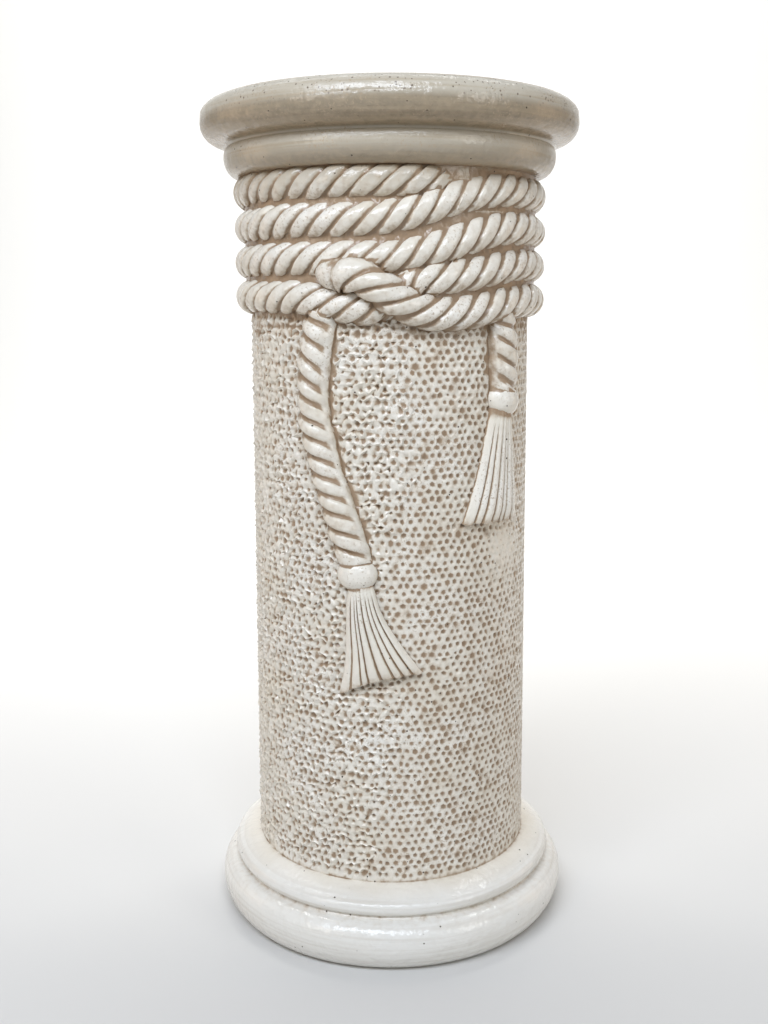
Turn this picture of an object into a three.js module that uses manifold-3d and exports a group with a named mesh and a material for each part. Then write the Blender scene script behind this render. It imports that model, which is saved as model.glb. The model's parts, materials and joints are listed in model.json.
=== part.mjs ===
// Rope twist column: one casting, a round drum between a moulded base and a moulded capital, with a
// rope wound round the neck, knotted at the front, and two tasselled rope ends hanging down the drum.
// Millimetres, +Z up, underside on z = 0, the knot faces -Y. Angles are in degrees from the front,
// growing to the right.
import * as THREE from "three";
import { mergeVertices } from "three/addons/utils/BufferGeometryUtils.js";
import Module from "manifold-3d";

// Whole column
const HEIGHT = 680;
const RIM_RADIUS = 152;
const FLAT_RADIUS = 134;
const ROUND_STEPS = 48;
const CURVE_STEPS = 3;

// Base, from the underside up
const BASE_BULGE_HEIGHT = 24;
const BASE_NOTCH = { radius: 135, height: 42 };
const BASE_RING = { bulge: 5, height: 14 };
const BASE_SLOPE = { radius: 128, height: 60 };
const DRUM_FOOT = { radius: 117.2, height: 63 };

// Drum
const DRUM_HEAD = { radius: 113.6, height: 520 };
const DRUM_RINGS = [200, 495];

// Capital, from the neck up
const CAPITAL_START = { radius: 122, height: 621.5 };
const CAPITAL_RING = { radius: 134.3, height: 637 };
const CAPITAL_NOTCH = { radius: 131.5, height: 645.5 };
const CAPITAL_BULGE_HEIGHT = 661;
const TOP_EDGE_HEIGHT = 13;

// Rope
const ROPE_RADIUS = 12.8;
const ROPE_LIFT = 0.4;
const ROPE_ACROSS = 5;
const ROPE_BURIED = -7;
const ROPE_FOOT = 0.9;
const STRAND_STEPS = 2;
const STRAND_GROOVE = 3.2;
const LAY_RAMP = 45;

// Winding: four turns, each a little higher at the left of the front than at the right, and each
// stepping up one pitch across the front
const WINDING = { turns: 4, leftLow: 529, leftPitch: 27.3, rightLow: 525, rightPitch: 27 };
const WINDING_LOBES = 43;
const WINDING_STRANDS = 4;
const STEP_START = -10;
const STEP_SPAN = 56;
const STEP_LAG = 6;
const SIDE_ANGLE = 60;
const WINDING_START = 16;
const WINDING_END = 1472;
const TUCK_SPAN = 22;
const TUCK_DEPTH = 9;
const VALLEY_LIFT = 2.5;

// Knot: the lowest turn dips under the crossing and rises to the turn above on the other side
const KNOT = {
  low: 516,
  lowAngle: 20,
  dip: 520,
  dipStart: -40,
  dipEnd: -8,
  rise: 541,
  riseEnd: 12,
};
const NOSE_LENGTH = 13;

// Hanging ends
const TAIL_LOBE = 14.7;
const TAIL_STRANDS = 3;
const TASSEL_STRANDS = 8;
const TASSEL_ROWS = 4;
const HEAD_SIZE = [16, 12, 12.5];
const TASSEL_GROOVE = 2.6;

const wasm = await Module();
wasm.setup();

const rad = THREE.MathUtils.degToRad;
const { lerp, smoothstep, clamp } = THREE.MathUtils;

const drumRadius = (height) =>
  THREE.MathUtils.mapLinear(
    clamp(height, DRUM_FOOT.height, DRUM_HEAD.height),
    DRUM_FOOT.height,
    DRUM_HEAD.height,
    DRUM_FOOT.radius,
    DRUM_HEAD.radius,
  );

// Flat drawing of the wall: x runs round the wall in millimetres, y is height, z is lift off the wall.
const onWall = (angle, height, lift = ROPE_LIFT) =>
  new THREE.Vector3(rad(angle) * DRUM_HEAD.radius, height, lift);

// Rolls the flat drawing round the drum.
function rollUp(geometry) {
  const place = geometry.attributes.position;
  for (let i = 0; i < place.count; i += 1) {
    const angle = place.getX(i) / DRUM_HEAD.radius;
    const height = place.getY(i);
    const radius = drumRadius(height) + place.getZ(i);
    place.setXYZ(i, radius * Math.sin(angle), -radius * Math.cos(angle), height);
  }
  return geometry;
}

function solidOf(geometry) {
  const bare = new THREE.BufferGeometry();
  bare.setAttribute("position", geometry.attributes.position);
  bare.setIndex(geometry.index);
  const merged = mergeVertices(bare, 1e-4);
  const index = merged.index.array;
  const triVerts = [];
  for (let t = 0; t < index.length; t += 3) {
    const [a, b, c] = [index[t], index[t + 1], index[t + 2]];
    if (a !== b && b !== c && c !== a) triVerts.push(a, b, c);
  }
  const mesh = new wasm.Mesh({
    numProp: 3,
    vertProperties: new Float32Array(merged.attributes.position.array),
    triVerts: new Uint32Array(triVerts),
  });
  return new wasm.Manifold(mesh);
}

function geometryOf(solid) {
  const mesh = solid.getMesh();
  const geometry = new THREE.BufferGeometry();
  geometry.setAttribute("position", new THREE.BufferAttribute(mesh.vertProperties, 3));
  geometry.setIndex(new THREE.BufferAttribute(mesh.triVerts, 1));
  return geometry;
}

// Quarter of an ellipse from one point of the profile to the next. It leaves level when `level` is
// true and upright when it is false.
function quarter(from, to, level) {
  const points = [];
  for (let i = 1; i <= CURVE_STEPS; i += 1) {
    const turn = (Math.PI / 2) * (i / CURVE_STEPS);
    const away = 1 - Math.cos(turn);
    const along = Math.sin(turn);
    const [x, y] = level ? [along, away] : [away, along];
    points.push(new THREE.Vector2(lerp(from[0], to[0], x), lerp(from[1], to[1], y)));
  }
  return points;
}

// Base, drum and capital, turned from one profile.
function turnedBody() {
  const ringMiddle = BASE_NOTCH.height + BASE_RING.height / 2;
  const ringTop = BASE_NOTCH.height + BASE_RING.height;
  const ringEdge = BASE_NOTCH.radius + BASE_RING.bulge;
  const topCurve = HEIGHT - TOP_EDGE_HEIGHT;
  const profile = [
    new THREE.Vector2(0, 0),
    new THREE.Vector2(FLAT_RADIUS, 0),
    ...quarter([FLAT_RADIUS, 0], [RIM_RADIUS, BASE_BULGE_HEIGHT], true),
    ...quarter([RIM_RADIUS, BASE_BULGE_HEIGHT], [BASE_NOTCH.radius, BASE_NOTCH.height], false),
    ...quarter([BASE_NOTCH.radius, BASE_NOTCH.height], [ringEdge, ringMiddle], true),
    ...quarter([ringEdge, ringMiddle], [BASE_NOTCH.radius, ringTop], false),
    new THREE.Vector2(BASE_SLOPE.radius, BASE_SLOPE.height),
    new THREE.Vector2(DRUM_FOOT.radius, DRUM_FOOT.height),
    ...DRUM_RINGS.map((height) => new THREE.Vector2(drumRadius(height), height)),
    new THREE.Vector2(DRUM_HEAD.radius, DRUM_HEAD.height),
    new THREE.Vector2(DRUM_HEAD.radius, CAPITAL_START.height),
    new THREE.Vector2(CAPITAL_START.radius, CAPITAL_START.height),
    ...quarter(
      [CAPITAL_START.radius, CAPITAL_START.height],
      [CAPITAL_RING.radius, CAPITAL_RING.height],
      true,
    ),
    ...quarter(
      [CAPITAL_RING.radius, CAPITAL_RING.height],
      [CAPITAL_NOTCH.radius, CAPITAL_NOTCH.height],
      false,
    ),
    ...quarter(
      [CAPITAL_NOTCH.radius, CAPITAL_NOTCH.height],
      [RIM_RADIUS, CAPITAL_BULGE_HEIGHT],
      true,
    ),
    new THREE.Vector2(RIM_RADIUS, topCurve),
    ...quarter([RIM_RADIUS, topCurve], [FLAT_RADIUS, HEIGHT], false),
    new THREE.Vector2(0, HEIGHT),
  ];
  return solidOf(new THREE.LatheGeometry(profile, ROUND_STEPS).rotateX(Math.PI / 2));
}

// A laid rope along a path on the flat drawing. Each row of points follows one strand slanting across
// the rope, so the grooves between the strands are edges of the form. The flanks run down into the
// wall. `size` gives the rope's share of its full thickness at a distance from the start.
function laidRope(path, lobe, strands, size) {
  path.arcLengthDivisions = 3000;
  const length = path.getLength();
  const rows = Math.round(length / lobe) * STRAND_STEPS;
  const slant = (strands * lobe) / (2 * Math.PI);
  const points = [];
  const faces = [];
  const count = ROPE_ACROSS + 3;
  for (let i = 0; i <= rows; i += 1) {
    const start = (length * i) / rows;
    const ramp = smoothstep(Math.min(start, length - start), 0, LAY_RAMP);
    const groove = i % STRAND_STEPS === 0 ? STRAND_GROOVE : 0;
    for (let j = 0; j < count; j += 1) {
      const buried = j > ROPE_ACROSS;
      const turn = buried ? 0 : Math.PI * (j / ROPE_ACROSS - 0.5);
      const along = clamp(start + slant * turn * ramp, 0, length);
      const middle = path.getPointAt(along / length);
      const heading = path.getTangentAt(along / length);
      const side = new THREE.Vector2(-heading.y, heading.x).normalize();
      const radius = ROPE_RADIUS * size(along, length) - groove * Math.cos(turn) ** 0.5;
      const inward = j === ROPE_ACROSS + 1 ? ROPE_FOOT : -ROPE_FOOT;
      const across = buried ? radius * inward : radius * Math.sin(turn);
      const lift = buried ? ROPE_BURIED : middle.z + radius * Math.cos(turn);
      points.push(middle.x + side.x * across, middle.y + side.y * across, lift);
    }
  }
  const at = (i, j) => i * count + (j % count);
  for (let i = 0; i < rows; i += 1) {
    for (let j = 0; j < count; j += 1) {
      faces.push(at(i, j), at(i + 1, j), at(i + 1, j + 1), at(i, j), at(i + 1, j + 1), at(i, j + 1));
    }
  }
  for (let j = 1; j < count - 1; j += 1) {
    faces.push(at(0, 0), at(0, j), at(0, j + 1), at(rows, 0), at(rows, j + 1), at(rows, j));
  }
  const rope = new THREE.BufferGeometry();
  rope.setAttribute("position", new THREE.Float32BufferAttribute(points, 3));
  rope.setIndex(faces);
  return solidOf(rollUp(rope));
}

// Height of the wound rope's middle at an angle that keeps growing from turn to turn.
function windingHeight(angle) {
  const turn = Math.floor((angle + SIDE_ANGLE) / 360);
  const local = angle - 360 * turn;
  const left = WINDING.leftLow + WINDING.leftPitch * turn;
  const right = WINDING.rightLow + WINDING.rightPitch * turn;
  if (local >= SIDE_ANGLE) {
    return lerp(right, left, (local - SIDE_ANGLE) / (360 - 2 * SIDE_ANGLE));
  }
  const leftBelow = left - WINDING.leftPitch;
  if (turn === 0) {
    return lerp(KNOT.low, right, smoothstep(local, KNOT.lowAngle, SIDE_ANGLE));
  }
  if (turn === 1) {
    const dip = lerp(leftBelow, KNOT.dip, smoothstep(local, KNOT.dipStart, KNOT.dipEnd));
    const rise = lerp(dip, KNOT.rise, smoothstep(local, KNOT.dipEnd, KNOT.riseEnd));
    return lerp(rise, right, smoothstep(local, KNOT.riseEnd, SIDE_ANGLE));
  }
  if (turn === WINDING.turns) return leftBelow;
  const from = STEP_START + STEP_LAG * (WINDING.turns - 1 - turn);
  return lerp(leftBelow, right, smoothstep(local, from, from + STEP_SPAN));
}

// The wound rope, made like a screw thread: rows of points follow the strands, and the top of each
// turn shares its points with the bottom of the turn above.
function woundRope() {
  const perTurn = WINDING_LOBES * STRAND_STEPS;
  const step = 360 / perTurn;
  const rows = Math.round((WINDING_END - WINDING_START) / step);
  const strandRows = (WINDING_STRANDS * STRAND_STEPS) / 2;
  const above = perTurn + strandRows;
  const points = [];
  const faces = [];
  const own = (i, j) => i * (ROPE_ACROSS + 1) + j;
  const at = (i, j) => (j === ROPE_ACROSS && i + above <= rows ? own(i + above, 0) : own(i, j));
  for (let i = 0; i <= rows; i += 1) {
    const groove = i % STRAND_STEPS === 0 ? STRAND_GROOVE : 0;
    for (let j = 0; j <= ROPE_ACROSS; j += 1) {
      const turn = Math.PI * (j / ROPE_ACROSS - 0.5);
      const angle = WINDING_START + step * (i + (strandRows * turn) / Math.PI);
      const middle = windingHeight(angle);
      const tuck = smoothstep(angle, WINDING_END - TUCK_SPAN, WINDING_END);
      const radius = ROPE_RADIUS - groove;
      const shared = j === 0 && i >= above;
      let height = middle + radius * Math.sin(turn);
      let lift = ROPE_LIFT + radius * Math.cos(turn) - TUCK_DEPTH * tuck;
      if (shared) {
        height = (middle + windingHeight(angle - 360)) / 2;
        lift = VALLEY_LIFT;
      } else if (j === 0 || j === ROPE_ACROSS) {
        lift = ROPE_BURIED;
      }
      points.push(...onWall(angle, height, lift));
    }
  }
  for (let i = 0; i < rows; i += 1) {
    for (let j = 0; j < ROPE_ACROSS; j += 1) {
      const [a, b, c, d] = [at(i, j), at(i + 1, j), at(i + 1, j + 1), at(i, j + 1)];
      faces.push(a, b, c, a, c, d);
    }
  }
  const foot = points.length / 3;
  points.push(...onWall(0, WINDING.leftLow, -drumRadius(WINDING.leftLow)));
  const head = foot + 1;
  points.push(...onWall(0, CAPITAL_START.height, -drumRadius(CAPITAL_START.height)));
  for (let i = 0; i < above; i += 1) {
    faces.push(foot, at(i + 1, 0), at(i, 0));
    const k = rows - above + i;
    faces.push(head, at(k, ROPE_ACROSS), at(k + 1, ROPE_ACROSS));
  }
  for (let j = 0; j < ROPE_ACROSS; j += 1) {
    faces.push(foot, at(0, j), at(0, j + 1));
    faces.push(head, at(rows, j + 1), at(rows, j));
  }
  const rope = new THREE.BufferGeometry();
  rope.setAttribute("position", new THREE.Float32BufferAttribute(points, 3));
  rope.setIndex(faces);
  return solidOf(rollUp(rope));
}

// A tassel's round head.
function tasselHead(angle, height, tilt) {
  const head = new THREE.SphereGeometry(1, 12, 8);
  head.rotateX(Math.PI / 2);
  head.scale(...HEAD_SIZE);
  head.rotateZ(rad(tilt));
  const centre = onWall(angle, height, 0.5);
  head.translate(centre.x, centre.y, centre.z);
  return solidOf(rollUp(head));
}

// A tassel's fringe: a fan of strands between a left and a right edge, thickest at the hem.
function tasselFringe(leftEdge, rightEdge, hemRise) {
  const left = new THREE.CatmullRomCurve3(leftEdge.map(([angle, height]) => onWall(angle, height)));
  const right = new THREE.CatmullRomCurve3(rightEdge.map(([angle, height]) => onWall(angle, height)));
  const fan = new THREE.BoxGeometry(1, 1, 1, TASSEL_STRANDS * 2, TASSEL_ROWS, 1);
  const place = fan.attributes.position;
  for (let i = 0; i < place.count; i += 1) {
    const across = place.getX(i) + 0.5;
    const down = 0.5 - place.getY(i);
    const spot = left.getPoint(down).lerp(right.getPoint(down), across);
    const column = Math.round(across * TASSEL_STRANDS * 2);
    const groove = column % 2 === 0 ? TASSEL_GROOVE : 0;
    const swell = 1 - Math.abs(2 * across - 1) ** 3;
    const lift = 3 + (5.5 + 2 * down) * swell - groove * swell;
    const rise = hemRise * Math.sin(Math.PI * across) * down ** 3;
    place.setXYZ(i, spot.x, spot.y + rise, place.getZ(i) > 0 ? lift : ROPE_BURIED);
  }
  return solidOf(rollUp(fan));
}

const knotLoop = new THREE.CatmullRomCurve3([
  onWall(-25, 536, 1),
  onWall(-21.5, 542.5, 6),
  onWall(-16, 545, 9),
  onWall(-9, 541.5, 10),
  onWall(-3, 534, 10),
  onWall(3, 526, 7),
  onWall(10, 519.5, 4),
  onWall(19, 516.5, -2),
  onWall(28, 517, -9),
]);
const rounded = (along) => Math.sqrt(1 - (1 - clamp(along / NOSE_LENGTH, 0.04, 1)) ** 2);
const full = () => 1;

const longTail = new THREE.CatmullRomCurve3([
  onWall(-25, 524, -5),
  onWall(-27, 510, -1),
  onWall(-29, 490),
  onWall(-30.3, 465),
  onWall(-30, 445),
  onWall(-28.3, 425),
  onWall(-25.5, 402),
  onWall(-21.5, 378),
  onWall(-17, 352),
  onWall(-13, 324, -2),
]);
const shortTail = new THREE.CatmullRomCurve3([
  onWall(48, 520, -4),
  onWall(48, 500),
  onWall(48.5, 475),
  onWall(49, 448, -2),
]);

const longFringe = tasselFringe(
  [[-16, 314], [-17, 285], [-17.5, 250], [-20, 221.5]],
  [[-7, 314], [-3.5, 289], [3, 266], [12, 240]],
  5,
);
const shortFringe = tasselFringe(
  [[42, 444], [38, 412], [34, 384], [28.5, 355]],
  [[53, 438], [55, 412], [57, 384], [59, 353]],
  1,
);

const column = [
  woundRope(),
  laidRope(knotLoop, TAIL_LOBE, WINDING_STRANDS, rounded),
  laidRope(longTail, TAIL_LOBE, TAIL_STRANDS, full),
  laidRope(shortTail, TAIL_LOBE, TAIL_STRANDS, full),
  tasselHead(-12.5, 320, 0),
  tasselHead(49, 449, -16),
  longFringe,
  shortFringe,
].reduce((whole, piece) => whole.add(piece), turnedBody());

const casting = new THREE.Mesh(
  geometryOf(column),
  new THREE.MeshStandardMaterial({ color: 0xc9c4b6, roughness: 0.45, metalness: 0 }),
);
casting.name = "rope_column";

const part = new THREE.Group();
part.name = "rope_twist_column";
part.add(casting);

export default part;
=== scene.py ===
# %% [markdown]
# # Rope twist column
# The real object is a pedestal of glazed earthenware, cast in one piece: a moulded base, a drum with
# thousands of small pressed pits, a rope wound round the neck and knotted at the front, two hanging
# rope ends with tassels, and a moulded capital. The lesson makes each form as a closed mesh, joins
# them into one mesh, and then glazes it. All sizes are in millimetres until the mesh is made.

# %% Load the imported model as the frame
import json
import math

import bpy
import numpy as np
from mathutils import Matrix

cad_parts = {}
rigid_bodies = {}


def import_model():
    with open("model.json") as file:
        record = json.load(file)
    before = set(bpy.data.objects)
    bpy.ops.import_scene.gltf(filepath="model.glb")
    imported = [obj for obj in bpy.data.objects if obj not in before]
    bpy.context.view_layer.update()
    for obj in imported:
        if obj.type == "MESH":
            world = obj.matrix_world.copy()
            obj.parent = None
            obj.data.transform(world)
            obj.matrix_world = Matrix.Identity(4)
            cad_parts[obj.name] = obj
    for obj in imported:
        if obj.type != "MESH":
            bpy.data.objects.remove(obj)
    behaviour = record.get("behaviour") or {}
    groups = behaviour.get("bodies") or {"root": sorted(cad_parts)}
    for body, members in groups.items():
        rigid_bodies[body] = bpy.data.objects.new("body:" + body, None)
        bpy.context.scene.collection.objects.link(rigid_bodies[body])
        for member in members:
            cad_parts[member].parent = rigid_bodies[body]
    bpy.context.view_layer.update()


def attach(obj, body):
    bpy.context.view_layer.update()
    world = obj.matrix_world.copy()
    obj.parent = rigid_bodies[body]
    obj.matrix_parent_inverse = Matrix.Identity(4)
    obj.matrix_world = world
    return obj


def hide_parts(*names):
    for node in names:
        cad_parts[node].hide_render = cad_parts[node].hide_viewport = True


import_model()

# %% [markdown]
# ## The wall as a flat drawing
# Pits, ropes and tassels all lie on the drum, which tapers a little. They could be modelled in place
# and bent with a modifier. It is easier to draw them on the unrolled wall and to roll the points up:
# the first number runs round the wall, the second is the height, the third is the lift off the wall.

# %% Roll the flat drawing round the drum
DRUM_FOOT = (117.2, 63.0)
DRUM_HEAD = (113.6, 520.0)
DEGREE = math.radians(1) * DRUM_HEAD[0]


def ease(value, low, high):
    share = np.clip((value - low) / (high - low), 0.0, 1.0)
    return share * share * (3 - 2 * share)


def wall_radius(height):
    share = np.clip((height - DRUM_FOOT[1]) / (DRUM_HEAD[1] - DRUM_FOOT[1]), 0.0, 1.0)
    return DRUM_FOOT[0] + (DRUM_HEAD[0] - DRUM_FOOT[0]) * share


def roll_up(flat):
    angle = flat[:, 0] / DRUM_HEAD[0]
    radius = wall_radius(flat[:, 1]) + flat[:, 2]
    return np.column_stack((radius * np.sin(angle), -radius * np.cos(angle), flat[:, 1]))


print("one degree is", round(DEGREE, 3), "mm of wall")

# %% [markdown]
# ## Where the rope ends hang
# The pits stop short of the hanging ropes, so the ropes' lines come first. A smooth curve through a
# few points, a Catmull-Rom spline, is enough: angle from the front in degrees, height and lift.

# %% Lines of the hanging ropes
ROPE_LIFT = 0.4


def on_wall(points):
    spots = np.array([p if len(p) == 3 else (*p, ROPE_LIFT) for p in points], float)
    spots[:, 0] *= DEGREE
    return spots


def smooth_line(spots, steps=24):
    ends = np.vstack((2 * spots[0] - spots[1], spots, 2 * spots[-1] - spots[-2]))
    share = np.linspace(0, 1, steps, endpoint=False)[:, None]
    line = []
    for a, b, c, d in zip(ends[:-3], ends[1:-2], ends[2:-1], ends[3:]):
        curve = 2 * b + (c - a) * share + (2 * a - 5 * b + 4 * c - d) * share**2
        line.append((curve + (3 * b - a - 3 * c + d) * share**3) / 2)
    return np.vstack(line + [spots[-1:]])


LONG_TAIL = smooth_line(on_wall([
    (-25, 524, -5), (-27, 510, -1), (-29, 490), (-30.3, 465), (-30, 445), (-28.3, 425),
    (-25.5, 402), (-21.5, 378), (-17, 352), (-13, 324, -2),
]))
SHORT_TAIL = smooth_line(on_wall([(48, 520, -4), (48, 500), (48.5, 475), (49, 448, -2)]))
print("hanging ropes:", len(LONG_TAIL), "and", len(SHORT_TAIL), "points")

# %% [markdown]
# ## Pits in the drum
# The maker pressed the soft clay all over with a blunt point. Displacing a fine grid would need far
# too many faces for holes this small. Here every pit is six rim points and one floor point on a
# jittered honeycomb, fourteen triangles in all, so the holes are real and the mesh stays light. On the
# left of the front the point went in askew and pushed up a lip; on the right the holes are clean.

# %% Places, sizes and tilts of the pits
COLUMNS = 112
PIT_ROWS = 82
PIT_TOP = 522.0
ROPE_RADIUS = 12.8
MIDDLE_RADIUS = 114
LONG_TRENCH, SHORT_TRENCH, TRENCH_FOOT = 3.6, 4.2, 345
BARE_ABOVE = 515
PITCH_ROUND = 2 * math.pi * DRUM_HEAD[0] / COLUMNS
PITCH_UP = (PIT_TOP - DRUM_FOOT[1]) / PIT_ROWS
pick = np.random.default_rng(11)


def ripple(angle, height, seed, turns=6, rise=0.03, waves=7):
    chance = np.random.default_rng(seed)
    total = 0.0
    for _ in range(waves):
        total = total + np.sin(
            chance.integers(-turns, turns + 1) * angle
            + chance.uniform(-rise, rise) * height
            + chance.uniform(0, 2 * math.pi)
        )
    return total / math.sqrt(waves)


row, column = np.mgrid[0 : PIT_ROWS + 1, 0:COLUMNS]
edge_row = (row == 0) | (row == PIT_ROWS)
site = np.stack(
    ((column + 0.5 * (row % 2)) * PITCH_ROUND, DRUM_FOOT[1] + row * PITCH_UP), axis=-1
)
front_angle = (np.degrees(site[..., 0] / DRUM_HEAD[0]) + 180) % 360 - 180
askew = 1 - ease(front_angle + 6 * ripple(0, site[..., 1], 3, rise=0.06), -6, 12)
behind = ease(ripple(site[..., 0] / MIDDLE_RADIUS, site[..., 1], 5), -1, 1)
askew = np.where(np.abs(front_angle) > 100, behind, askew)
push = pick.uniform(0, 2 * math.pi, row.shape)
reach = (1.4 + 0.5 * askew) * np.sqrt(pick.uniform(0, 1, row.shape)) * ~edge_row
site += reach[..., None] * np.stack((np.cos(push), np.sin(push)), axis=-1)


def tail_gap(spot, line):
    near = np.full(spot.shape[:-1], 1e9)
    side = np.zeros(spot.shape[:-1])
    for point, after in zip(line[:-1:4, :2], line[4::4, :2]):
        offset = spot - point
        distance = np.hypot(offset[..., 0], offset[..., 1])
        heading = (after - point) / np.linalg.norm(after - point)
        across = offset[..., 0] * heading[1] - offset[..., 1] * heading[0]
        side = np.where(distance < near, -np.sign(across), side)
        near = np.minimum(near, distance)
    return near - ROPE_RADIUS, side


flat_site = np.stack((np.radians(front_angle) * DRUM_HEAD[0], site[..., 1]), axis=-1)
long_gap, long_side = tail_gap(flat_site, LONG_TAIL)
short_gap, short_side = tail_gap(flat_site, SHORT_TAIL)
trench = (long_gap < LONG_TRENCH) & (long_side > 0)
trench |= (short_gap < SHORT_TRENCH) & (short_side < 0)
trench &= site[..., 1] > TRENCH_FOOT
bare = trench | (site[..., 1] > BARE_ABOVE + 6 * ripple(site[..., 0] / MIDDLE_RADIUS, 0, 9, turns=3) * 0.3)
print("pits:", int((~edge_row & ~bare).sum()), "askew share:", round(float(askew.mean()), 2))

# %% [markdown]
# Each honeycomb triangle gets one rim point from each of its three pits. The strips between two pits
# and the triangles between three pits are the lands that the glaze rides on.

# %% The drum's mesh on the flat drawing
DIRECTIONS = {"right": (0, 1, 1), "up_right": (1, 0, 1), "up_left": (1, -1, 0)}


def neighbour(name):
    rows, even, odd = DIRECTIONS[name]
    return row + rows, (column + np.where(row % 2 == 0, even, odd)) % COLUMNS


def unwrapped(rows, columns, near):
    spot = site[np.clip(rows, 0, PIT_ROWS), columns].copy()
    around = COLUMNS * PITCH_ROUND
    spot[..., 0] += around * np.round((near[..., 0] - spot[..., 0]) / around)
    return spot


right = neighbour("right")
up_right = neighbour("up_right")
up_left = neighbour("up_left")
middle_up = (site + unwrapped(*right, site) + unwrapped(*up_right, site)) / 3
middle_down = (site + unwrapped(*up_right, site) + unwrapped(*up_left, site)) / 3
toward = np.zeros((*row.shape, 6, 2))
toward[:, :, 0] = middle_up
toward[:, :, 1] = middle_down
inner = row < PIT_ROWS
for slot, centre, other in (
    (2, middle_up, right), (4, middle_up, up_right), (3, middle_down, up_right), (5, middle_down, up_left)
):
    rows, columns = (part[inner] if slot != 2 else part.ravel() for part in other)
    toward[rows, columns, slot] = centre[inner] if slot != 2 else centre.reshape(-1, 2)
ray = toward - site[:, :, None, :]
around = COLUMNS * PITCH_ROUND
ray[..., 0] -= around * np.round(ray[..., 0] / around)
length = np.linalg.norm(ray, axis=-1)
ray /= np.maximum(length, 1e-6)[..., None]

PIT_RADIUS, PIT_DEPTH, TRENCH_DEPTH = 2.95, 2.3, 0.9
WORN_ANGLE, WORN_HEIGHT = 53, 330
worn = np.exp(-(((front_angle - WORN_ANGLE) / 11) ** 2) - ((site[..., 1] - WORN_HEIGHT) / 20) ** 2)
size = pick.normal(PIT_RADIUS, 0.4, row.shape) - 0.4 * askew - 1.1 * worn
size = np.where(bare, 0.7, size)
uneven = 1 + pick.normal(0, 1, length.shape) * (0.07 + 0.13 * askew[..., None])
rim_radius = np.clip(size[..., None] * uneven, 0.5, 0.82 * length)
depth = (pick.normal(PIT_DEPTH, 0.35, row.shape) + 0.3 * askew) * (1 - 0.75 * worn) * ~bare
lean = math.radians(115) + pick.normal(0, 0.5, row.shape)
lean_axis = np.stack((np.cos(lean), np.sin(lean)), axis=-1)
rough = askew * ~bare
lip = (ray * lean_axis[:, :, None, :]).sum(-1) * -1.1 * rough[..., None]
lip += (0.2 + pick.normal(0, 0.15, lip.shape) * (1 + 2 * rough[..., None])) * ~bare[..., None]
sink = np.where(trench, -TRENCH_DEPTH, 0.0)

rim = np.concatenate(
    (site[:, :, None, :] + ray * rim_radius[..., None], (lip + sink[..., None])[..., None]), axis=-1
)
floor_spot = np.concatenate(
    (site + 0.6 * lean_axis * rough[..., None], (sink - depth)[..., None]), axis=-1
)
ids = np.arange(row.size * 6).reshape(*row.shape, 6)
ids[edge_row] = ids[edge_row][:, :1]
rim[edge_row] = np.concatenate((site[edge_row], np.zeros((edge_row.sum(), 1))), axis=-1)[:, None, :]
floor_id = ids.size + np.arange(row.size).reshape(row.shape)


def around_quad(*corners):
    return np.stack([c[inner] for c in corners], axis=-1)


def rim_of(other, slot):
    rows, columns = other
    return ids[np.clip(rows, 0, PIT_ROWS), columns, slot]


here = [ids[..., k] for k in range(6)]
lands = [
    np.stack((here[0], rim_of(right, 2), rim_of(up_right, 4)), -1)[inner],
    np.stack((here[1], rim_of(up_right, 3), rim_of(up_left, 5)), -1)[inner],
]
strips = [
    around_quad(here[5], rim_of(right, 3), rim_of(right, 2), here[0]),
    around_quad(here[0], rim_of(up_right, 4), rim_of(up_right, 3), here[1]),
    around_quad(here[1], rim_of(up_left, 5), rim_of(up_left, 4), here[2]),
]
holes = [
    np.stack((here[k], here[(k + 1) % 6], floor_id), -1)[~edge_row] for k in range(6)
]
drum_faces = [list(dict.fromkeys(f)) for group in lands + strips + holes for f in group.tolist()]
drum_faces = [f for f in drum_faces if len(f) > 2]
drum_points = roll_up(np.vstack((rim.reshape(-1, 3), floor_spot.reshape(-1, 3))))
print("drum:", len(drum_faces), "faces")

# %% [markdown]
# A brown wash was brushed over the pale slip and wiped off, so it stays in every hollow. How much of it
# stays, from 0 to 1, is noted for each point while the shapes are made, because the shapes know best
# which point is a hollow. The same number also carries painted shade: it is raised where a surface
# faces down or sits under the rope. The material reads it later.

# %% Wash and painted shade left on the drum
RIM_WASH, FLOOR_WASH = 0.3, 1.05
BARE_WASH, BARE_FLOOR_WASH = 0.56, 0.85
FOOT_WASH, TOP_WASH = 0.52, 0.7
patch = pick.normal(0, 0.06, row.shape)
rim_wash_and_shade = RIM_WASH - 0.02 * askew - 0.2 * worn + patch
rim_wash_and_shade = np.where(bare, BARE_WASH + 2 * patch, rim_wash_and_shade)
# Painted shade: a tan band on the lands just below the lowest turn of the rope.
rim_wash_and_shade += 0.16 * ease(site[..., 1], 488, 514) * ~bare
rim_wash_and_shade[0] = FOOT_WASH
rim_wash_and_shade[PIT_ROWS] = TOP_WASH
floor_wash = FLOOR_WASH - pick.uniform(0, 0.35, row.shape) - 0.5 * worn
floor_wash = np.where(bare, BARE_FLOOR_WASH, floor_wash)
rim_wash_and_shade = rim_wash_and_shade[..., None] - 0.2 * rough[..., None] * lip
drum_wash_and_shade = np.concatenate((rim_wash_and_shade.ravel(), floor_wash.ravel()))
print("drum wash: mean", round(float(drum_wash_and_shade.mean()), 2))

# %% [markdown]
# ## Base and capital
# Both are stacks of round mouldings. A modeller could spin a curve with the Screw modifier. The rings
# here take the same number of points as the drum's edge rows, so base, drum and capital close into one
# solid with no seam. A faint ripple keeps the mouldings from looking machine-made.

# %% Rings of the base and the capital
HEIGHT, RIM, FLAT, NECK = 680.0, 152.0, 134.0, 118.8
CURVE_STEPS = 6


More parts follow.
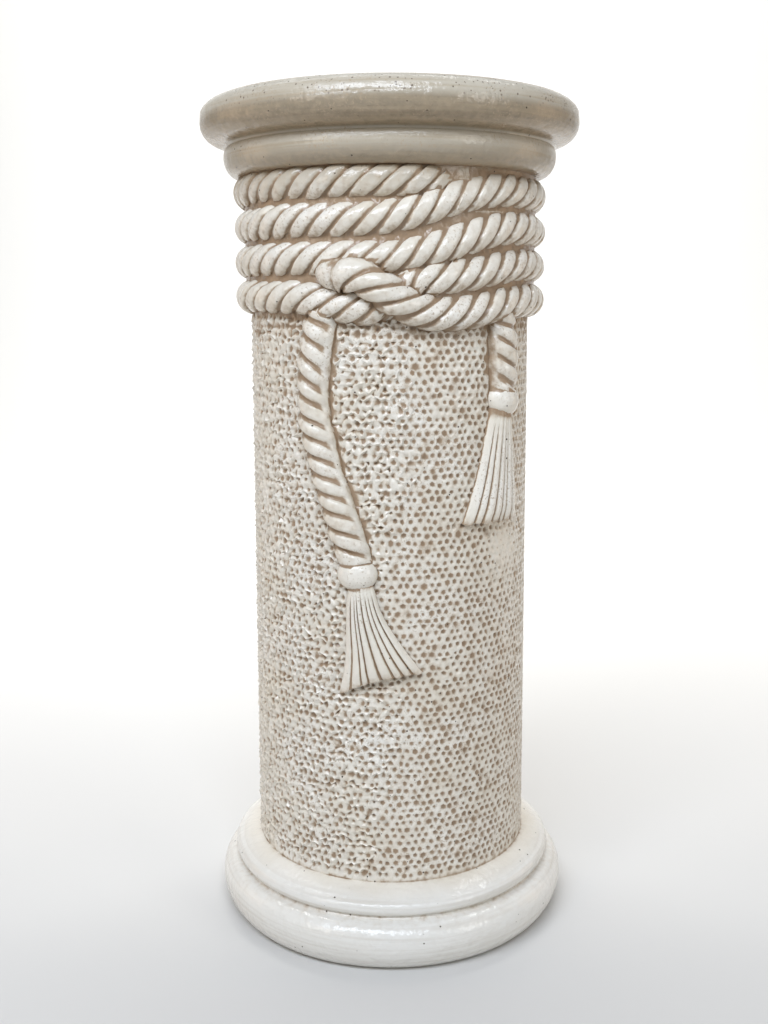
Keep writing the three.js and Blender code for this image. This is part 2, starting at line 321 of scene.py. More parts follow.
def quarter(start, end, level, wash_and_shade=(0.0, 0.0)):
    turn = np.linspace(0, math.pi / 2, CURVE_STEPS + 1)[1:]
    away, along = 1 - np.cos(turn), np.sin(turn)
    share = (along, away) if level else (away, along)
    spot = [start[k] + (end[k] - start[k]) * share[k] for k in (0, 1)]
    return np.column_stack((*spot, np.interp(turn, (0, math.pi / 2), wash_and_shade))).tolist()


base_profile = [(FLAT, 0.0, 0.1)]
base_profile += quarter((FLAT, 0), (RIM, 24), True, (0.15, 0.0))
# Painted shade: the wash numbers in the base's crease paint a soft shadow band.
base_profile += quarter((RIM, 24), (138.5, 41.2), False, (0.0, 0.24))
base_profile += [(136.9, 42.0, 0.34), (136.2, 43.2, 0.36), (136.6, 44.6, 0.34)]
base_profile += quarter((136.6, 44.6), (140, 50), True, (0.3, 0.0))
base_profile += quarter((140, 50), (135, 56), False)
base_profile += [(132, 58.2, 0.0), (128, 60, 0.0), (122.5, 61.8, 0.05), (118.6, 62.7, 0.25)]
capital_profile = [(NECK, 525.0, 0.42), (NECK, 590.0, 0.42), (NECK, 612.0, 0.42), (NECK, 621.0, 0.5)]
# Painted shade: the wash numbers on the lower halves of both mouldings, which face down, and in the crease
# between them.
capital_profile += [(122, 621.5, 0.55)]
capital_profile += quarter((122, 621.5), (134.3, 637), True, (0.45, 0.1))
capital_profile += quarter((134.3, 637), (131.4, 644.4), False, (0.1, 0.0))
capital_profile += [(131.7, 645.5, 0.12), (133.1, 646.5, 0.3), (135.8, 647.2, 0.4)]
capital_profile += quarter((135.8, 647.2), (RIM, 662), True, (0.4, 0.25))
capital_profile += quarter((RIM, 667), (FLAT, HEIGHT), False)


def rings(profile, shift, seed):
    angle = (np.arange(COLUMNS) + shift) * PITCH_ROUND / DRUM_HEAD[0]
    made = []
    for radius, height, _ in profile:
        soft = 0.35 * ripple(angle, height, seed) * (1 < height < HEIGHT - 1) * (radius > DRUM_FOOT[0])
        soft = np.minimum(soft, RIM - radius)
        spot = (radius + soft) * np.vstack((np.sin(angle), -np.cos(angle)))
        made.append(np.column_stack((spot.T, np.full(COLUMNS, height))))
    return np.vstack(made)


def band(lower, upper):
    after = np.roll(np.arange(COLUMNS), -1)
    return np.stack((lower, lower[after], upper[after], upper), -1).tolist()


base_points = rings(base_profile, 0.0, 21)
capital_points = rings(capital_profile, 0.5 * (PIT_ROWS % 2), 22)
body_points = np.vstack(
    (drum_points, base_points, capital_points, [(0, 0, 0), (0, 0, HEIGHT)])
)
body_wash_and_shade = np.concatenate(
    [drum_wash_and_shade, *(np.full(COLUMNS, p[2]) for p in base_profile + capital_profile), [0.2, 0.1]]
)
first_base = len(drum_points)
first_capital = first_base + len(base_points)
base_rows = [first_base + k * COLUMNS + np.arange(COLUMNS) for k in range(len(base_profile))]
base_rows.append(ids[0, :, 0])
capital_rows = [ids[PIT_ROWS, :, 0]]
capital_rows += [first_capital + k * COLUMNS + np.arange(COLUMNS) for k in range(len(capital_profile))]
body_faces = list(drum_faces)
for stack in (base_rows, capital_rows):
    for lower, upper in zip(stack[:-1], stack[1:]):
        body_faces += band(lower, upper)
for c in range(COLUMNS):
    after = (c + 1) % COLUMNS
    body_faces.append([len(body_points) - 2, int(base_rows[0][after]), int(base_rows[0][c])])
    body_faces.append([len(body_points) - 1, int(capital_rows[-1][c]), int(capital_rows[-1][after])])
print("body:", len(body_points), "points,", len(body_faces), "faces")

# %% [markdown]
# ## From points to a Blender mesh
# One helper turns points, faces and the wash with its painted shade into an object. Points that no face
# uses are dropped. The value is stored one higher, so that new points, which get 0 when the forms are
# joined, can be told.

# %% Make an object from points and faces


def make_object(name, points, wash_and_shade, faces):
    used = np.unique(np.concatenate([np.asarray(f) for f in faces]))
    renumber = np.full(len(points), -1)
    renumber[used] = np.arange(len(used))
    mesh = bpy.data.meshes.new(name)
    mesh.from_pydata((points[used] / 1000).tolist(), [], [renumber[f].tolist() for f in faces])
    mesh.attributes.new("wash_and_shade", "FLOAT", "POINT").data.foreach_set("value", 1 + wash_and_shade[used])
    mesh.update()
    thing = bpy.data.objects.new(name, mesh)
    bpy.context.collection.objects.link(thing)
    return thing


column_body = make_object("column_body", body_points, body_wash_and_shade, body_faces)
print("object:", column_body.name, len(column_body.data.polygons), "faces")

# %% [markdown]
# ## The laid rope
# A rope's strands slant across it, and in this casting they are plump pillows with sharp grooves
# between them. Sweeping a circle along a curve would lose them. Here each row of points follows one
# strand from flank to flank, and the rope's thickness dips at every groove. The flanks run down into
# the wall, as on a form that has to leave its mould. A hanging rope keeps one edge whole: its grooves
# fade out before they reach it.

# %% A rope along a line on the flat drawing
ACROSS = 12
STRAND_ROWS = np.array([0.0, 0.06, 0.15, 0.29, 0.48, 0.66, 0.8, 0.92])
GROOVE = 3.2
ROPE_SPREAD = 1.04
FLANK_DEGREES = 96
FOOT_SHARE, FOOT_DEPTH = 0.9, -7.0
EDGE_KEPT = 0.85
SUNK_FROM = 3.0


def closed_tube(sections):
    count, around_count = sections.shape[:2]
    k = np.arange(count * around_count).reshape(count, around_count)
    after = np.roll(k, -1, axis=1)
    faces = np.stack((k[:-1], k[1:], after[1:], after[:-1]), -1).reshape(-1, 4).tolist()
    half = around_count // 2
    for i in range(half - 1):
        a, b, c, d = i, i + 1, around_count - 2 - i, around_count - 1 - i
        first = list(dict.fromkeys(k[0, [a, b, c, d]].tolist()))
        last = list(dict.fromkeys(k[-1, [d, c, b, a]].tolist()))
        faces += [first, last]
    return sections.reshape(-1, 4), faces


def carved(phase, narrow):
    place = 0.5 + (phase - 0.5) / narrow
    return 1 - ease(place, 0.02, 0.14) * ease(1 - place, 0.02, 0.24)


class RopeLine:
    def __init__(self, spots):
        steps = np.linalg.norm(np.diff(spots, axis=0), axis=1)
        self.reach = np.concatenate(([0], np.cumsum(steps)))
        self.spots = spots
        self.length = self.reach[-1]
        heading = np.gradient(spots[:, :2], self.reach, axis=0)
        self.heading = heading / np.linalg.norm(heading, axis=1)[:, None]

    def at(self, along):
        spot = np.stack([np.interp(along, self.reach, self.spots[:, k]) for k in range(3)], -1)
        heading = np.stack([np.interp(along, self.reach, self.heading[:, k]) for k in range(2)], -1)
        return spot, heading / np.linalg.norm(heading, axis=-1)[..., None]


def laid_rope(line, lobe, strands, size, seed, ramp, calm=1.0, whole_edge=0):
    rope = RopeLine(line)
    lobes = round(rope.length / lobe)
    phase = np.append(np.tile(STRAND_ROWS, lobes), 0.0)
    count = np.append(np.repeat(np.arange(lobes), len(STRAND_ROWS)), lobes)
    start = rope.length * (count + phase) / lobes
    fade = ease(start, 0, ramp[0]) * ease(rope.length - start, 0, ramp[1])
    turn = np.radians(np.linspace(-FLANK_DEGREES, FLANK_DEGREES, ACROSS + 1))
    slant = strands * lobe / (2 * math.pi)
    along = np.clip(start[:, None] + slant * turn[None, :] * fade[:, None], 0, rope.length)
    chance = np.random.default_rng(seed)
    plump = chance.normal(0, 0.4, lobes + 1)[count] * np.sin(math.pi * phase)
    narrow = 1 - 0.1 * abs(whole_edge) - 0.22 * np.sin(turn) ** 2
    narrow = narrow + chance.normal(0, 0.05, lobes + 1)[count, None]
    dip = carved(phase[:, None], narrow) * ease(start, -calm / 3, calm)[:, None]
    dip = dip * (1 - EDGE_KEPT * ease(whole_edge * turn, 0.7, 1.3))
    spot, heading = rope.at(along)
    share = size(along, rope.length)
    radius = (ROPE_RADIUS + plump[:, None]) * share
    radius = radius - GROOVE * dip * np.minimum(share, 1) * (0.6 + 0.4 * np.cos(turn))
    across = ROPE_SPREAD * radius * np.sin(turn)
    # Painted shade, partly real wash: the wash rises on the rope's lower side and on its flanks where they
    # meet the wall.
    low_side = 0.25 + 0.13 * ease(-turn, -0.4, 1.2) + 0.18 * ease(np.abs(turn), 1.15, 1.6)
    # Painted shade where a rope end sinks under another turn.
    sunk = np.clip(0.15 * (ROPE_LIFT - SUNK_FROM - spot[..., 2]), 0, 0.6)
    wash_and_shade = np.maximum(np.maximum(0.85 * dip**1.4, low_side), sunk)
    section = np.stack(
        (
            spot[..., 0] - heading[..., 1] * across,
            spot[..., 1] + heading[..., 0] * across,
            spot[..., 2] + radius * np.cos(turn),
            wash_and_shade,
        ),
        -1,
    )
    buried, buried_heading = rope.at(np.repeat(start[:, None], 3, axis=1))
    out = np.array([FOOT_SHARE, 0.0, -FOOT_SHARE]) * radius[:, ACROSS // 2, None]
    foot = np.stack(
        (
            buried[..., 0] - buried_heading[..., 1] * out,
            buried[..., 1] + buried_heading[..., 0] * out,
            np.full_like(out, FOOT_DEPTH),
            np.ones_like(out),
        ),
        -1,
    )
    return np.concatenate((section, foot), axis=1)


print("a strand has", len(STRAND_ROWS), "rows across its width")

# %% [markdown]
# ## The winding and the knot
# The rope starts as the round end of the knot's loop, crosses over the lowest turn, winds four times
# round the neck, stepping up one turn at each pass of the front, and tucks its far end under the top
# turn. A helix from a menu would have an even slope; this rope is level behind and climbs in front.

# %% Line of the winding
LEFT_LOW, LEFT_PITCH, RIGHT_LOW, RIGHT_PITCH = 529.0, 27.3, 525.0, 27.0
TURNS, SIDE = 4, 60.0
WINDING_END = 1472.0


def mix(a, b, share):
    return a + (b - a) * share


def winding_height(angle):
    turn = math.floor((angle + SIDE) / 360)
    local = angle - 360 * turn
    left, right_side = LEFT_LOW + LEFT_PITCH * turn, RIGHT_LOW + RIGHT_PITCH * turn
    if local >= SIDE:
        return mix(right_side, left, (local - SIDE) / (360 - 2 * SIDE))
    below = left - LEFT_PITCH
    if turn == 0:
        return mix(516, right_side, ease(local, 20, SIDE))
    if turn == 1:
        dip = mix(below, 520, ease(local, -40, -8))
        rise = mix(dip, 541, ease(local, -8, 12))
        return mix(rise, right_side, ease(local, 12, SIDE))
    if turn == TURNS:
        return below
    start = -10 + 6 * (TURNS - 1 - turn)
    return mix(below, right_side, ease(local, start, start + 56))


def winding_lift(angle):
    under = -3 * math.exp(-(((angle - 360) / 9) ** 2))
    tuck = -9 * ease(angle, WINDING_END - 24, WINDING_END)
    return ROPE_LIFT + under + tuck


loop = [
    (-25, 536, 1), (-21.5, 542.5, 6), (-16, 545, 9), (-9, 541.5, 10), (-3, 534, 10), (3, 526, 7.5),
    (9, 519.8, 4), (16, 516.6, 1.5),
]
winding = [(a, winding_height(a), winding_lift(a)) for a in np.arange(24, WINDING_END + 0.1, 4)]
WINDING = smooth_line(on_wall(loop + winding), steps=8)
print("rope wound:", round(RopeLine(WINDING).length), "mm")

# %% [markdown]
# The rope crosses over itself at the knot, and a solid can't overlap itself. So it is cut behind the
# column into lengths that meet end to end.

# %% Ropes as objects
LOBE = 2 * math.pi * DRUM_HEAD[0] / 43
TAIL_LOBE = 14.7


def rounded_end(along, length):
    nose = np.clip(along / 13, 0.04, 1)
    tuck = mix(0.75, 1.0, np.clip((length - along) / 40, 0, 1))
    return np.sqrt(1 - (1 - nose) ** 2) * tuck


def full(along, length):
    return np.ones_like(along)


def flat_object(name, sections):
    points, faces = closed_tube(sections)
    return make_object(name, roll_up(points), points[:, 3], faces)


wound = laid_rope(WINDING, LOBE, 4, rounded_end, 31, ramp=(45, 20), calm=30.0)
row_angle = wound[:, ACROSS // 2, 0] / DEGREE
cuts = [0] + [int(np.argmin(np.abs(row_angle - (180 + 360 * k)))) for k in range(TURNS)]
cuts.append(len(wound) - 1)
relief = []
for k, (start, end) in enumerate(zip(cuts[:-1], cuts[1:])):
    relief.append(flat_object(f"rope_{k}", wound[start : end + 1]))
long_tail = laid_rope(LONG_TAIL, TAIL_LOBE, 3, full, 32, ramp=(45, 12), whole_edge=1)
short_tail = laid_rope(SHORT_TAIL, TAIL_LOBE, 3, full, 33, ramp=(30, 12), whole_edge=-1)
relief.append(flat_object("long_tail", long_tail))
relief.append(flat_object("short_tail", short_tail))
print("faces of each rope length:", [len(r.data.polygons) for r in relief])

# %% [markdown]
# ## Tassels
# Each tassel is a round head, flattened against the wall, over a fan of strands that ends in a hem.
# The head is a stack of ellipses. The fan is a grid between a left and a right edge, lifted off the
# wall more at the hem, with a groove between strands.

# %% Heads and fringes
HEAD_SIZE = (15.5, 13.5, 12.5)
FRINGE_STRANDS = 8
STRAND_COLUMNS = 6
FRINGE_ROWS = 20


def tassel_head(angle, height, tilt):
    up = np.linspace(-0.97, 0.97, 15)[:, None] * math.pi / 2
    round_ = np.linspace(2 * math.pi, 0, 28, endpoint=False)[None, :]
    x = HEAD_SIZE[0] * np.cos(up) * np.cos(round_)
    y = HEAD_SIZE[1] * np.sin(up) + 0 * round_
    lift = 0.5 - HEAD_SIZE[2] * np.cos(up) * np.sin(round_)
    c, s = math.cos(math.radians(tilt)), math.sin(math.radians(tilt))
    wash_and_shade = 0.8 * ease(-up, 0.45, 1.2) + 0 * round_
    return np.stack((angle * DEGREE + c * x - s * y, height + s * x + c * y, lift, wash_and_shade), -1)


def tassel_fringe(left_edge, right_edge, hem_rise, seed):
    chance = np.random.default_rng(seed)
    widths = np.cumsum(np.append(0, chance.uniform(0.6, 1.4, FRINGE_STRANDS)))
    step = np.arange(FRINGE_STRANDS * STRAND_COLUMNS + 1)
    across = np.interp(step / STRAND_COLUMNS, np.arange(FRINGE_STRANDS + 1), widths / widths[-1])[None, :]
    phase = (step % STRAND_COLUMNS)[None, :] / STRAND_COLUMNS
    strand = np.minimum(step // STRAND_COLUMNS, FRINGE_STRANDS - 1)
    down = np.linspace(0, 1, FRINGE_ROWS + 1)
    edges = []
    for edge in (left_edge, right_edge):
        line = smooth_line(on_wall(edge))
        place = np.linspace(0, 1, len(line))
        edges.append(np.stack([np.interp(down, place, line[:, k]) for k in (0, 1)], -1))
    fall = down[:, None]
    spot = edges[0][:, None, :] + (edges[1] - edges[0])[:, None, :] * across[..., None]
    swell = 1 - np.abs(2 * across - 1) ** 3
    inside = np.minimum(1, 3 * swell)
    groove = np.abs(2 * phase - 1) ** 4 * inside * ease(fall, 0.02, 0.3)
    plump = chance.normal(0, 0.5, FRINGE_STRANDS)[strand] * np.sin(math.pi * phase)
    roll = ease(fall, 0.86, 1.04)
    lift = 3 + (5.8 + 2.2 * fall) * swell * (1 - 0.45 * roll) + plump - 2.4 * groove * (1 - 0.6 * roll)
    hem = chance.normal(0, 0.45, FRINGE_STRANDS)[strand] - 0.8 * np.abs(2 * phase - 1) ** 2
    rise = hem_rise * np.sin(math.pi * across) * fall**3 - hem * fall**6
    # Painted shade, with the wash in the grooves: the top of the fringe under the head and the hem that rolls
    # under are darker.
    wash_and_shade = np.maximum(0.95 * groove, 0.7 * (1 - ease(fall, 0.0, 0.12)) + 0.55 * roll)
    outer = np.stack((spot[..., 0], spot[..., 1] + rise, lift, wash_and_shade), -1)
    buried = outer[:, ::-1].copy()
    buried[..., 2] = -6
    buried[..., 3] = 0.9
    return np.concatenate((outer, buried), axis=1)[::-1]


relief.append(flat_object("long_head", tassel_head(-12.7, 319, 0)))
relief.append(flat_object("short_head", tassel_head(49, 449, -16)))
relief.append(flat_object("long_fringe", tassel_fringe(
    [(-16, 314), (-17, 285), (-17.5, 250), (-20, 221.5)],
    [(-7, 314), (-3.5, 289), (3, 266), (12, 240)], 5, 41,
)))
relief.append(flat_object("short_fringe", tassel_fringe(
    [(42, 444), (38, 412), (34, 384), (28.5, 355)],
    [(53, 438), (55, 412), (57, 384), (59, 353)], 1, 42,
)))
print("relief forms:", [r.name for r in relief])

# %% [markdown]
# ## One casting
# The real thing is one piece, so the forms are joined with Boolean modifiers. The Manifold solver is
# quick on closed meshes, and what lies inside the wall disappears.

# %% Join the forms
for form in relief:
    join = column_body.modifiers.new(form.name, "BOOLEAN")
    join.operation = "UNION"
    join.solver = "MANIFOLD"
    join.object = form
whole = bpy.data.meshes.new_from_object(
    column_body.evaluated_get(bpy.context.evaluated_depsgraph_get())
)
cast_column = bpy.data.objects.new("cast_column", whole)
bpy.context.collection.objects.link(cast_column)
for form in [column_body, *relief]:
    bpy.data.meshes.remove(form.data)
whole.calc_loop_triangles()
print("casting:", len(whole.vertices), "points,", len(whole.loop_triangles), "triangles")

# %% [markdown]
# New points lie only in the creases where two forms meet, and the wash always stays there.

# %% Wash in the creases
stored = whole.attributes["wash_and_shade"].data
wash_and_shade = np.empty(len(stored), dtype=np.float32)
stored.foreach_get("value", wash_and_shade)
crease = wash_and_shade < 0.5
wash_and_shade = np.where(crease, 1.0, np.clip(wash_and_shade - 1, 0, 1)).astype(np.float32)
stored.foreach_set("value", wash_and_shade)
print("creases:", int(crease.sum()), "points; wash mean", round(float(wash_and_shade.mean()), 3))

# %% [markdown]
# ## Glazed earthenware
# The column is slip-cast earthenware under a cream tin glaze: a hard, glossy skin over buff clay, brown
# where the wash shows through. It could be one flat cream with dirt painted by ambient occlusion, but
# that looks the same in every hollow. Here the stored value decides where the brown wash lies and where
# painted shade darkens undersides and the band below the rope, and noise at real sizes breaks its edges.
# One material covers the piece, since it is one firing.

# %% Colours and nodes


def linear(code):
    parts = [int(code[i : i + 2], 16) / 255 for i in (1, 3, 5)]
    return (*[p / 12.92 if p <= 0.04045 else ((p + 0.055) / 1.055) ** 2.4 for p in parts], 1.0)


def add_node(tree, kind, output, links=None, **settings):
    node = tree.nodes.new("ShaderNode" + kind)
    for name, value in settings.items():
        setattr(node, name, value)
    for key, value in (links or {}).items():
        if isinstance(value, bpy.types.NodeSocket):
            tree.links.new(value, node.inputs[key])
        else:
            node.inputs[key].default_value = value
    return node.outputs[output] if output is not None else node


SMOOTH = {"interpolation_type": "SMOOTHSTEP"}
COLOUR = {"data_type": "RGBA"}
glaze = bpy.data.materials.new("glazed_earthenware")
glaze.use_nodes = True
tree = glaze.node_tree
tree.nodes.clear()
where = add_node(tree, "TexCoord", "Object")
height = add_node(tree, "SeparateXYZ", "Z", {"Vector": where})
wash_and_shade_here = add_node(tree, "Attribute", "Fac", attribute_name="wash_and_shade")
print("cream in linear light:", [round(c, 2) for c in linear("#DDD5C5")[:3]])

# %% [markdown]
# The cream is thicker and whiter in clouds as wide as a hand. The capital is mixed darker than the
# drum and the base was wiped paler, so the height of a point shifts its colour.

# %% Cream of the drum, the capital and the base
CLOUD, MOTTLE = 0.045, 0.005
cloud = add_node(tree, "TexNoise", "Fac", {"Vector": where, "Scale": 1 / CLOUD, "Detail": 5.0})
mottle = add_node(tree, "TexNoise", "Fac", {"Vector": where, "Scale": 1 / MOTTLE, "Detail": 4.0})
thick = add_node(tree, "MapRange", "Result", {"Value": cloud, "From Min": 0.25, "From Max": 0.75})
on_capital = add_node(
    tree, "MapRange", "Result", {"Value": height, "From Min": 0.6, "From Max": 0.632}, **SMOOTH
)
darker = add_node(tree, "Math", 0, {0: on_capital, 1: 0.8}, operation="MULTIPLY")
paler = add_node(
    tree, "MapRange", "Result", {"Value": height, "From Min": 0.062, "From Max": 0.056, "To Max": 0.7}
)
cream = add_node(
    tree, "Mix", "Result", {"Factor": thick, "A": linear("#DDD5C5"), "B": linear("#EBE7DE")}, **COLOUR
)
cream = add_node(tree, "Mix", "Result", {"Factor": darker, "A": cream, "B": linear("#BBB2A0")}, **COLOUR)
cream = add_node(tree, "Mix", "Result", {"Factor": paler, "A": cream, "B": linear("#E2E1DC")}, **COLOUR)
# Painted shade: where the stored value lies on the capital, under its mouldings, the cream is darkened
# towards a shadow brown.
shade_mask = add_node(
    tree, "MapRange", "Result", {"Value": wash_and_shade_here, "From Min": 0.0, "From Max": 0.36}, **SMOOTH
)
capital_shade = add_node(tree, "Math", 0, {0: on_capital, 1: shade_mask}, operation="MULTIPLY")
cream = add_node(tree, "Mix", "Result", {"Factor": capital_shade, "A": cream, "B": linear("#857761")}, **COLOUR)
print("cream clouds", CLOUD * 1000, "mm wide")

# %% [markdown]
# The wash is a thin tan film where it was wiped, and an umber pool where it stayed; film and pool also
# paint the shade that the stored value carries. Mottling as fine as a sponge's pores makes the edge of both
# ragged.

# %% Brown wash and painted shade
ragged = add_node(tree, "Math", 0, {0: mottle, 1: 0.6, 2: -0.3}, operation="MULTIPLY_ADD")
wash_and_shade_sum = add_node(tree, "Math", 0, {0: wash_and_shade_here, 1: ragged}, operation="ADD")
film_and_shade = add_node(
    tree, "MapRange", "Result",
    {"Value": wash_and_shade_sum, "From Min": 0.12, "From Max": 0.55, "To Max": 0.5}, **SMOOTH
)
pool_and_shade = add_node(tree, "MapRange", "Result", {"Value": wash_and_shade_sum, "From Min": 0.32, "From Max": 0.64}, **SMOOTH)
tinted = add_node(tree, "Mix", "Result", {"Factor": film_and_shade, "A": cream, "B": linear("#BCA98E")}, **COLOUR)
washed_and_shaded = add_node(tree, "Mix", "Result", {"Factor": pool_and_shade, "A": tinted, "B": linear("#9B846B")}, **COLOUR)
print("nodes so far:", len(tree.nodes))

# %% [markdown]
# A wide brush drawn round the turning capital left level streaks, 3 mm apart and a hand long. Noise
# stretched by those two sizes draws them, faintly on the base too.

# %% Brush marks
STREAK_LONG, STREAK_HIGH = 0.14, 0.003
stretch = (1 / STREAK_LONG, 1 / STREAK_LONG, 1 / STREAK_HIGH)
streak_place = add_node(tree, "Mapping", "Vector", {"Vector": where, "Scale": stretch})
streak = add_node(tree, "TexNoise", "Fac", {"Vector": streak_place, "Scale": 1.0, "Detail": 4.0})
marks = add_node(
    tree, "MapRange", "Result",
    {"Value": streak, "From Min": 0.42, "From Max": 0.7, "To Max": 0.55}, **SMOOTH
)
on_base = add_node(tree, "Math", 0, {0: paler, 1: 0.5}, operation="MULTIPLY")
mouldings = add_node(tree, "Math", 0, {0: on_capital, 1: on_base}, operation="MAXIMUM")
brushed = add_node(tree, "Math", 0, {0: marks, 1: mouldings}, operation="MULTIPLY")
streaked = add_node(tree, "Mix", "Result", {"Factor": brushed, "A": washed_and_shaded, "B": linear("#A8987F")}, **COLOUR)
print("brush streaks", STREAK_HIGH * 1000, "mm apart")

# %% [markdown]
# Gas from the clay left pinholes about a millimetre wide, brown dust sits in faint clouds on all but the
# base, and grit gathers on the shoulder of the rim. The dust is fine noise. Pinholes and grit are cell
# patterns: a dot in every cell, of a size that the cell's own random colour gives, so many cells stay
# empty. The flat top stays plainer.

# %% Pinholes, dust and grit
PORE_CELL, DUST_GRAIN, GRIT_CELL = 0.0065, 0.0017, 0.0026
PORE_SHARE, GRIT_SHARE = 0.13, 0.36
pores = add_node(tree, "TexVoronoi", None, {"Vector": where, "Scale": 1 / PORE_CELL})
pore_pick = add_node(tree, "SeparateColor", "Red", {"Color": pores.outputs["Color"]})
pore_size = add_node(
    tree, "MapRange", "Result", {"Value": pore_pick, "From Min": 0.5, "From Max": 1.0, "To Max": PORE_SHARE}
)
pore_depth = add_node(tree, "Math", 0, {0: pore_size, 1: pores.outputs["Distance"]}, operation="SUBTRACT")
pinhole = add_node(
    tree, "MapRange", "Result", {"Value": pore_depth, "From Min": -0.005, "From Max": 0.02}, **SMOOTH
)
grain = add_node(tree, "TexNoise", "Fac", {"Vector": where, "Scale": 1 / DUST_GRAIN, "Detail": 2.0})
dusty = add_node(
    tree, "MapRange", "Result", {"Value": cloud, "From Min": 0.42, "From Max": 0.62, "To Max": 0.7}, **SMOOTH
)
off_base = add_node(tree, "MapRange", "Result", {"Value": height, "From Min": 0.06, "From Max": 0.08})
dusty = add_node(tree, "Math", 0, {0: dusty, 1: off_base}, operation="MULTIPLY")
dots = add_node(tree, "MapRange", "Result", {"Value": grain, "From Min": 0.57, "From Max": 0.68}, **SMOOTH)
dust = add_node(tree, "Math", 0, {0: dusty, 1: dots}, operation="MULTIPLY")
grits = add_node(tree, "TexVoronoi", None, {"Vector": where, "Scale": 1 / GRIT_CELL})
grit_pick = add_node(tree, "SeparateColor", "Green", {"Color": grits.outputs["Color"]})
gathered = add_node(tree, "Math", 0, {0: grit_pick, 1: cloud}, operation="ADD")
grit_size = add_node(
    tree, "MapRange", "Result", {"Value": gathered, "From Min": 0.8, "From Max": 1.4, "To Max": GRIT_SHARE}
)
grit_depth = add_node(tree, "Math", 0, {0: grit_size, 1: grits.outputs["Distance"]}, operation="SUBTRACT")
speck = add_node(
    tree, "MapRange", "Result", {"Value": grit_depth, "From Min": 0.0, "From Max": 0.12}, **SMOOTH
)
on_rim = add_node(
    tree, "MapRange", "Result", {"Value": height, "From Min": 0.658, "From Max": 0.67}, **SMOOTH
)
plain_top = add_node(
    tree, "MapRange", "Result",
    {"Value": height, "From Min": 0.6785, "From Max": 0.6796, "To Min": 1.0, "To Max": 0.3},
)
rim_share = add_node(tree, "Math", 0, {0: on_rim, 1: plain_top}, operation="MULTIPLY")
grit = add_node(tree, "Math", 0, {0: speck, 1: rim_share}, operation="MULTIPLY")
dusted = add_node(tree, "Mix", "Result", {"Factor": dust, "A": streaked, "B": linear("#AE9B82")}, **COLOUR)
pricked = add_node(tree, "Mix", "Result", {"Factor": pinhole, "A": dusted, "B": linear("#4E4136")}, **COLOUR)
coloured = add_node(tree, "Mix", "Result", {"Factor": grit, "A": pricked, "B": linear("#7B6F62")}, **COLOUR)
print("pinholes up to", round(2 * PORE_SHARE * PORE_CELL * 1000, 1), "mm wide")

# %% [markdown]
# A glaze is glass, so its IOR is 1.5 and its highlights are small and bright, a little duller where the
# wash lies. Under the gloss the brushed slip is never quite flat: the bump gives it a 9 mm swell, the
# mottling, and the depth of the pinholes, which are all too shallow to model.

# %% Gloss and fine relief
SWELL = 0.009
gloss = add_node(
    tree, "MapRange", "Result",
    {"Value": cloud, "From Min": 0.3, "From Max": 0.7, "To Min": 0.14, "To Max": 0.25},
)
roughness = add_node(tree, "Math", 0, {0: pool_and_shade, 1: 0.06, 2: gloss}, operation="MULTIPLY_ADD")
swell = add_node(tree, "TexNoise", "Fac", {"Vector": where, "Scale": 1 / SWELL, "Detail": 3.0})
skin_height = add_node(tree, "Math", 0, {0: mottle, 1: 0.7, 2: swell}, operation="MULTIPLY_ADD")
skin_height = add_node(tree, "Math", 0, {0: pinhole, 1: -1.2, 2: skin_height}, operation="MULTIPLY_ADD")
skin_height = add_node(tree, "Math", 0, {0: brushed, 1: -0.3, 2: skin_height}, operation="MULTIPLY_ADD")
bump = add_node(tree, "Bump", "Normal", {"Height": skin_height, "Strength": 0.7, "Distance": 0.0012})
skin = add_node(
    tree, "BsdfPrincipled", "BSDF",
    {"Base Color": coloured, "Roughness": roughness, "IOR": 1.5, "Normal": bump},
)
add_node(tree, "OutputMaterial", None, {"Surface": skin})
whole.materials.clear()
whole.materials.append(glaze)
print("glaze nodes:", len(tree.nodes))

# %% [markdown]
# The casting is smooth except at creases, so edges sharper than 68 degrees stay sharp. It then takes
# the place of the plain solid and stands on the frame's one body.

# %% Shading and the frame
whole.shade_smooth()
whole.set_sharp_from_angle(angle=math.radians(68))
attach(cast_column, "root")
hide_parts("rope_column")
print("piece:", cast_column.name)

# %% [markdown]
# ## Studio
# A pale floor that curves up behind the column, a long soft light above and in front as from an open
# sky, weak fills from both sides of the front, and two warm ones beside the column that round off its
# edges. One more lights the backdrop. The Standard view transform keeps the creams as they are mixed,
# where the default would grey them.

# %% Floor and lights
FLOOR_SIZE, SWEEP = 6.0, 1.5
profile = [(-FLOOR_SIZE, 0.0)]
for turn in np.linspace(0, math.pi / 2, 16):
    profile.append((2.5 + SWEEP * math.sin(turn), SWEEP * (1 - math.cos(turn))))
profile.append((2.5 + SWEEP, 5.0))
sweep_points = [(x, y, z) for y, z in profile for x in (-FLOOR_SIZE, FLOOR_SIZE)]
sweep_faces = [(2 * k, 2 * k + 1, 2 * k + 3, 2 * k + 2) for k in range(len(profile) - 1)]
backdrop_mesh = bpy.data.meshes.new("studio_floor")
backdrop_mesh.from_pydata(sweep_points, [], sweep_faces)
backdrop_mesh.shade_smooth()
backdrop = bpy.data.objects.new("studio_floor", backdrop_mesh)
bpy.context.collection.objects.link(backdrop)
paper = bpy.data.materials.new("white_paper")
paper.use_nodes = True
paper.node_tree.nodes["Principled BSDF"].inputs["Base Color"].default_value = linear("#D2D1CE")
paper.node_tree.nodes["Principled BSDF"].inputs["Roughness"].default_value = 0.9
backdrop_mesh.materials.append(paper)

world = bpy.data.worlds.new("overcast")
world.use_nodes = True
world.node_tree.nodes["Background"].inputs["Color"].default_value = (0.86, 0.92, 1.0, 1.0)
world.node_tree.nodes["Background"].inputs["Strength"].default_value = 0.18
bpy.context.scene.world = world


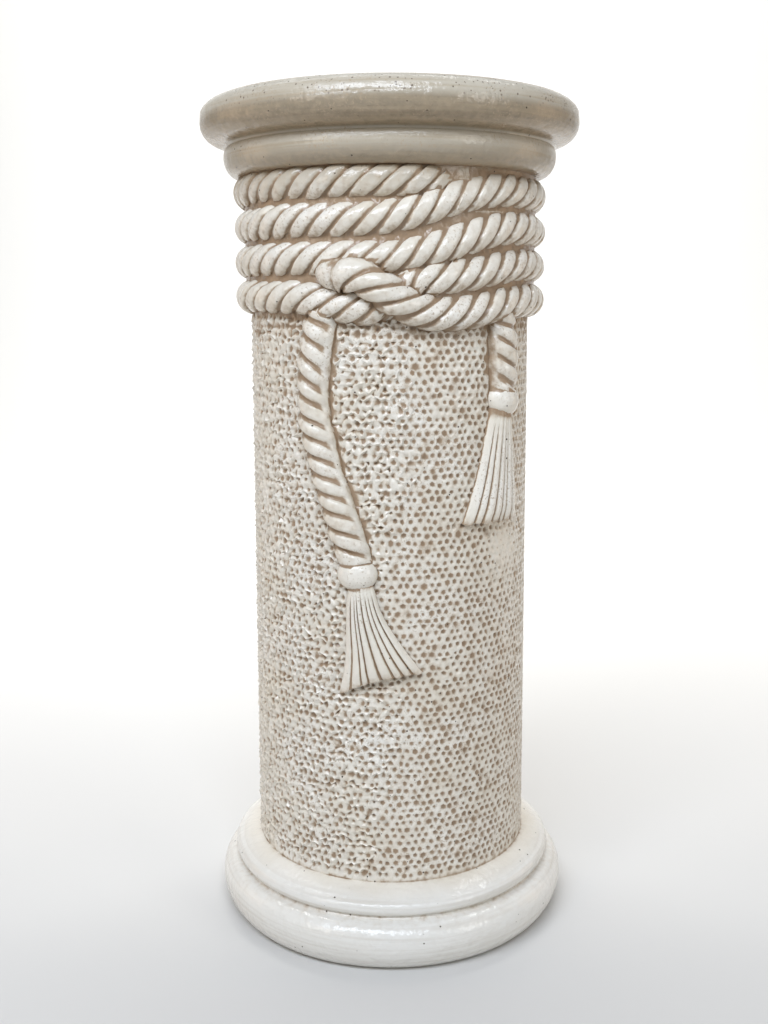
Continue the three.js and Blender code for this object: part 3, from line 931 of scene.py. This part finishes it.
def soft_light(name, place, target, size, power, colour):
    lamp = bpy.data.lights.new(name, "AREA")
    lamp.shape = "RECTANGLE"
    lamp.size, lamp.size_y = size
    lamp.energy = power
    lamp.color = linear(colour)[:3]
    thing = bpy.data.objects.new(name, lamp)
    thing.location = place
    aim = np.array(target) - np.array(place)
    thing.rotation_euler = (
        math.atan2(math.hypot(aim[0], aim[1]), -aim[2]), 0.0, math.atan2(aim[1], aim[0]) - math.pi / 2
    )
    bpy.context.collection.objects.link(thing)
    return thing


soft_light("sky_above", (-0.35, -1.5, 1.8), (0, 0, 0.35), (2.0, 0.5), 41, "#E8F1FF")
soft_light("front_left", (-1.6, -1.6, 1.1), (0, 0, 0.3), (0.7, 0.7), 7.0, "#FFF3E4")
soft_light("front_right", (1.7, -1.4, 1.0), (0, 0, 0.3), (0.7, 0.7), 8.0, "#FBF7F0")
for side in (-1, 1):
    soft_light("warm_side", (1.4 * side, 0.25, 0.5), (0, 0, 0.35), (0.5, 1.0), 2.2, "#F4CFA8")
soft_light("backdrop_light", (0.0, 0.9, 2.6), (0, 3.6, 1.0), (2.4, 1.0), 190, "#FFFFFF")
bpy.context.scene.view_settings.view_transform = "Standard"

# %% [markdown]
# ## Camera
# The photograph was taken from about a metre, a little below the capital, looking down by eleven
# degrees. The lens and the small shift put the column where the photograph has it.

# %% Camera
PHOTO_HEIGHT, FOCAL_PIXELS, SHIFT_PIXELS = 1024, 1113.95, -6
SENSOR = 36.0
DOWNWARD, LEAN = 0.19261, 0.00266
view = bpy.data.cameras.new("photo_camera")
view.sensor_fit = "VERTICAL"
view.sensor_height = SENSOR
view.lens = FOCAL_PIXELS / PHOTO_HEIGHT * SENSOR
view.shift_x = SHIFT_PIXELS / PHOTO_HEIGHT
view.dof.use_dof = False
camera = bpy.data.objects.new("photo_camera", view)
camera.location = (0.0, -0.9452, 0.5299)
camera.rotation_euler = (math.pi / 2 - DOWNWARD, LEAN, 0.0)
bpy.context.collection.objects.link(camera)
bpy.context.scene.camera = camera
print("camera lens:", round(view.lens, 2), "mm")
